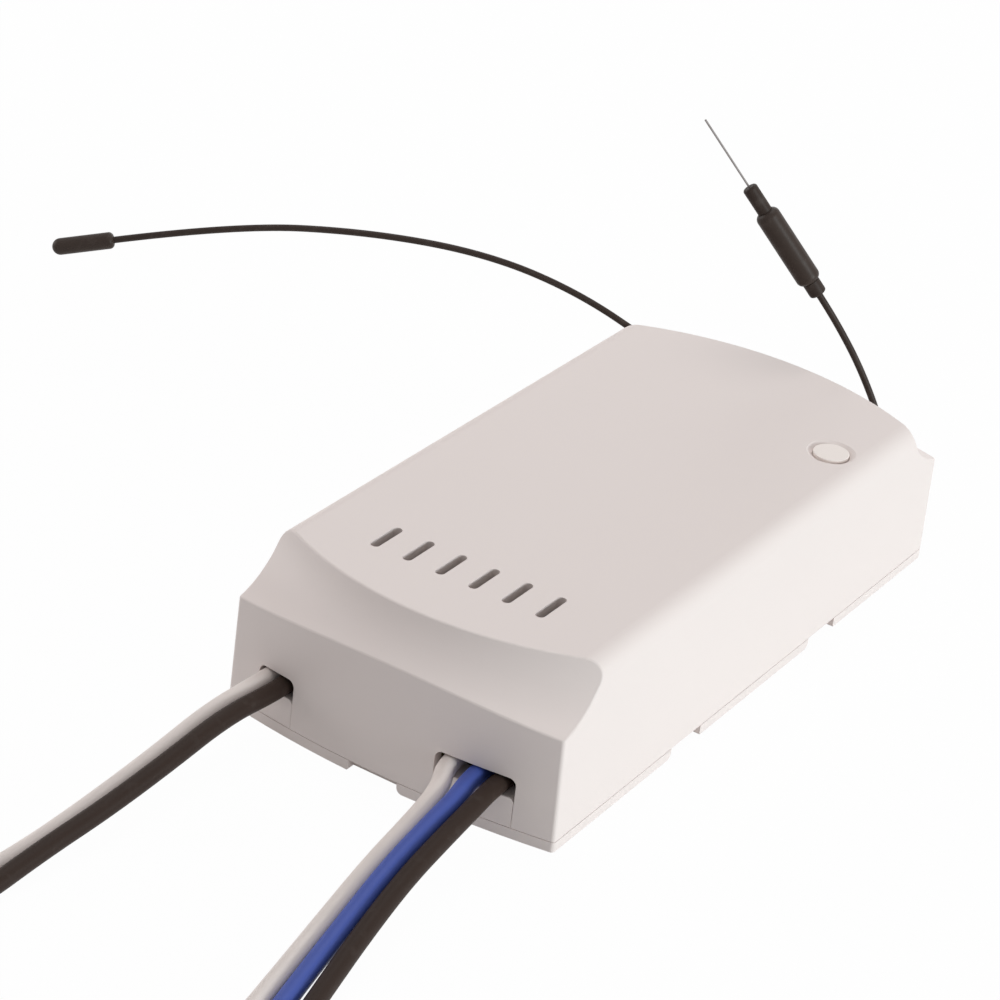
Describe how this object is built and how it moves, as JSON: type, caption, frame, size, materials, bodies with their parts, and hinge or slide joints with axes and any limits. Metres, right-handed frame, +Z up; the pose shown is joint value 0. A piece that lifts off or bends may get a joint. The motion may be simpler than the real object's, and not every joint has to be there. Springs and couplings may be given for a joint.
{
  "type": "smart ceiling fan controller",
  "caption": "Low rectangular smart ceiling fan controller box with scooped ends, vent slots, a push button, loose wiring leads at one end and wire antennas at the other.",
  "frame": {"origin": "middle of the flat underside of the case", "axes": "X across the case, -Y towards the end wall that the leads leave, +Z up out of the top"},
  "size_m": [0.1653, 0.2747, 0.0632],
  "materials": {
    "case_plastic": "fine matt moulded texture",
    "button_plastic": "smooth satin",
    "board_laminate": "green solder mask",
    "module_laminate": "dark blue solder mask",
    "relay_case": "blue moulded case",
    "film_capacitor_case": "grey moulded case",
    "safety_capacitor_case": "yellow moulded case",
    "varistor_coat": "blue dipped coat",
    "fuse_body": "green sleeve",
    "ferrite": "dark grey ferrite",
    "winding_tape": "yellow tape round copper wire",
    "can_sleeve": "black shrink sleeve",
    "chip_plastic": "black moulding compound",
    "buzzer_plastic": "black moulded",
    "led_lens": "clear to milky lens",
    "can_metal": "tinned sheet",
    "gold_contact": "gold flash",
    "solder": "bright solder",
    "tinned_wire": "tinned copper strands",
    "screw_steel": "nickel plated",
    "white_insulation": "satin",
    "black_insulation": "satin",
    "blue_insulation": "satin",
    "antenna_jacket": "satin",
    "antenna_sleeve": "shrink sleeve",
    "bare_wire": "tinned wire"
  },
  "bodies": {
    "case": {"top_cover": "case_plastic", "base_cover": "case_plastic", "main_board": "board_laminate", "board_screws": "screw_steel", "relays": "relay_case", "speed_capacitors": "film_capacitor_case", "safety_capacitor": "safety_capacitor_case", "varistor": "varistor_coat", "fuse": "fuse_body", "transformer_core": "ferrite", "transformer_winding": "winding_tape", "bulk_capacitor": "can_sleeve", "output_capacitors": "can_sleeve", "choke": "can_sleeve", "bridge_rectifier": "chip_plastic", "buzzer": "buzzer_plastic", "driver_chip": "chip_plastic", "voltage_regulator": "chip_plastic", "status_led": "led_lens", "wifi_module_board": "module_laminate", "wifi_shield_can": "can_metal", "coax_socket": "gold_contact", "coax_plug": "gold_contact", "radio_receiver_board": "board_laminate", "receiver_header": "chip_plastic", "receiver_chip": "chip_plastic", "receiver_crystal": "can_metal", "switch_body": "chip_plastic", "switch_frame": "can_metal", "switch_dome": "can_metal", "switch_legs": "can_metal", "white_supply_lead": "white_insulation", "white_supply_lead_end": "tinned_wire", "black_supply_lead": "black_insulation", "black_supply_lead_end": "tinned_wire", "white_fan_lead": "white_insulation", "white_fan_lead_end": "tinned_wire", "blue_light_lead": "blue_insulation", "blue_light_lead_end": "tinned_wire", "black_fan_lead": "black_insulation", "black_fan_lead_end": "tinned_wire", "inner_leads_white": "white_insulation", "inner_leads_black": "black_insulation", "inner_lead_blue": "blue_insulation", "inner_lead_wires": "tinned_wire", "solder_joints": "solder", "antenna_solder": "solder", "radio_antenna_cable": "antenna_jacket", "radio_antenna_cap": "antenna_sleeve", "wifi_antenna_cable": "antenna_jacket", "wifi_antenna_tube": "antenna_jacket", "wifi_antenna_sleeve": "antenna_sleeve", "wifi_antenna_rod": "bare_wire"},
    "button": {"button_cap": "button_plastic"},
    "plunger": {"switch_plunger": "chip_plastic"}
  },
  "joints": [
    {"name": "button_press", "type": "slide", "parent": "case", "child": "button", "axis": [0, 0, -1], "range_m": [0, 0.0003], "stiffness_N_per_m": 1000},
    {"name": "plunger_press", "type": "slide", "parent": "case", "child": "plunger", "axis": [0, 0, -1], "range_m": [0, 0.0003]}
  ],
  "couplings": [
    {"joint": "plunger_press", "follows": "button_press", "ratio": 1}
  ]
}
